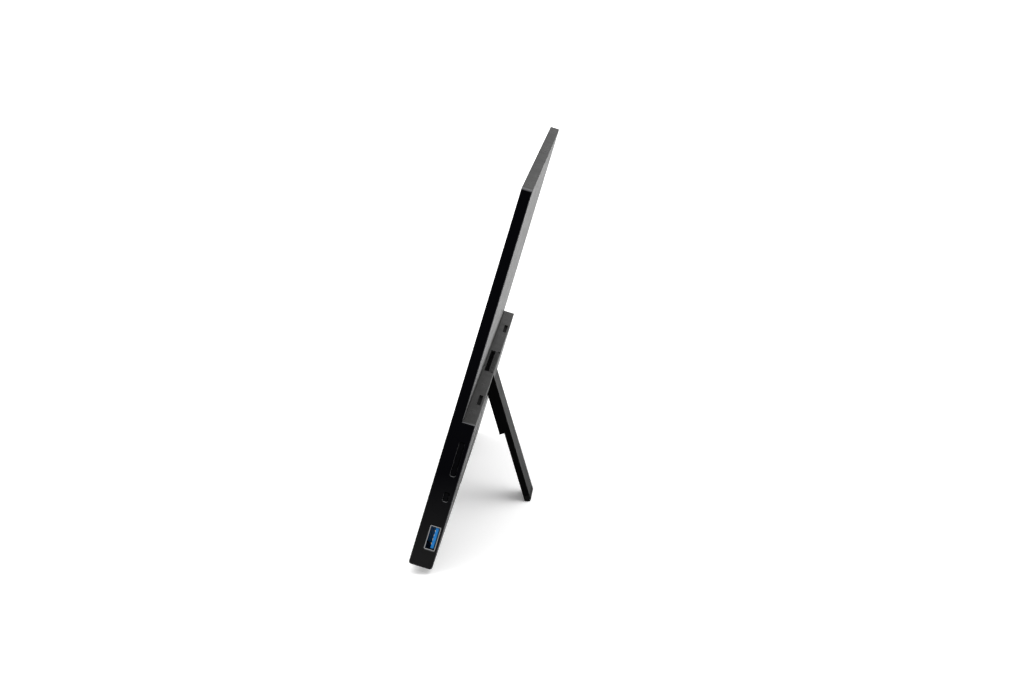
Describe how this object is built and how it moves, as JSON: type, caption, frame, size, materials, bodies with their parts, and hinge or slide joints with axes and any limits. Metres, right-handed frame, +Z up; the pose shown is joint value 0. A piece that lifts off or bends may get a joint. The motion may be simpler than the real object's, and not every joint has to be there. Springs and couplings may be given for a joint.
{
  "type": "all in one pc",
  "caption": "Slim all-in-one computer: wide display slab with a thicker lower section, side port and keys, and a fold-out centre kickstand.",
  "frame": {"origin": "centre of the object's footprint on the table, with the slab leaning back and the kickstand open", "axes": "+X to the user's right across the screen, -Y towards the user, +Z up"},
  "size_m": [0.33, 0.0638, 0.2037],
  "materials": {
    "black_gloss": "glossy",
    "screen_glass": "glossy",
    "lcd": "satin",
    "backlight": "matte",
    "circuit_board": "satin",
    "frame_metal": "matte",
    "component_black": "matte",
    "component_metal": "satin",
    "cover_grey": "satin",
    "brass": "satin",
    "screw_steel": "satin",
    "copper": "satin",
    "flex_film": "satin",
    "battery_wrap": "satin",
    "port_steel": "satin",
    "blue_plastic": "satin",
    "key_black": "satin",
    "rubber_black": "matte",
    "leg_black": "satin"
  },
  "bodies": {
    "slab": {"antennas": "flex_film", "backlight_unit": "backlight", "battery_board": "circuit_board", "battery_cells": "battery_wrap", "board_screws": "screw_steel", "board_standoffs": "brass", "bracket_screws": "screw_steel", "button_board": "circuit_board", "camera_module": "component_black", "cover_glass": "screen_glass", "display_flex": "flex_film", "dome_switches": "component_metal", "heat_spreader": "copper", "hinge_brackets": "port_steel", "hinge_cover": "cover_grey", "housing_screws": "screw_steel", "inlet_board": "circuit_board", "inlet_shell": "port_steel", "inlet_tongue": "component_black", "lcd_panel": "lcd", "left_side_trim": "black_gloss", "lower_rear_housing": "cover_grey", "mainboard": "circuit_board", "memory_chips": "component_black", "microphones": "component_metal", "mid_frame": "frame_metal", "panel_board": "circuit_board", "processor": "component_black", "right_side_trim": "black_gloss", "rubber_feet": "rubber_black", "speaker_meshes": "component_black", "speakers": "component_black", "ssd_module": "circuit_board", "upper_back_cover": "cover_grey", "usb_contacts": "brass", "usb_shell": "port_steel", "usb_tongue": "blue_plastic", "vent_grille": "component_black", "wifi_module": "component_metal"},
    "kickstand": {"leg_body": "leg_black", "leg_plate": "cover_grey", "leg_foot_pad": "rubber_black", "leg_screws": "screw_steel", "hinge_pin": "port_steel"},
    "rocker": {"volume_rocker": "key_black"},
    "power": {"power_button": "key_black"}
  },
  "joints": [
    {"name": "kickstand_hinge", "type": "hinge", "parent": "slab", "child": "kickstand", "pos_m": [0, -0.00107, 0.07567], "axis": [1, 0, 0], "range_deg": [-33, 0]},
    {"name": "rocker_tilt", "type": "hinge", "parent": "slab", "child": "rocker", "pos_m": [0.16185, -0.00641, 0.06223], "axis": [0, 0.9588, -0.284], "range_deg": [-1.6, 1.6], "stiffness_Nm_per_rad": 0.5},
    {"name": "power_press", "type": "slide", "parent": "slab", "child": "power", "axis": [-1, 0, 0], "range_m": [0, 0.0003], "stiffness_N_per_m": 600}
  ]
}
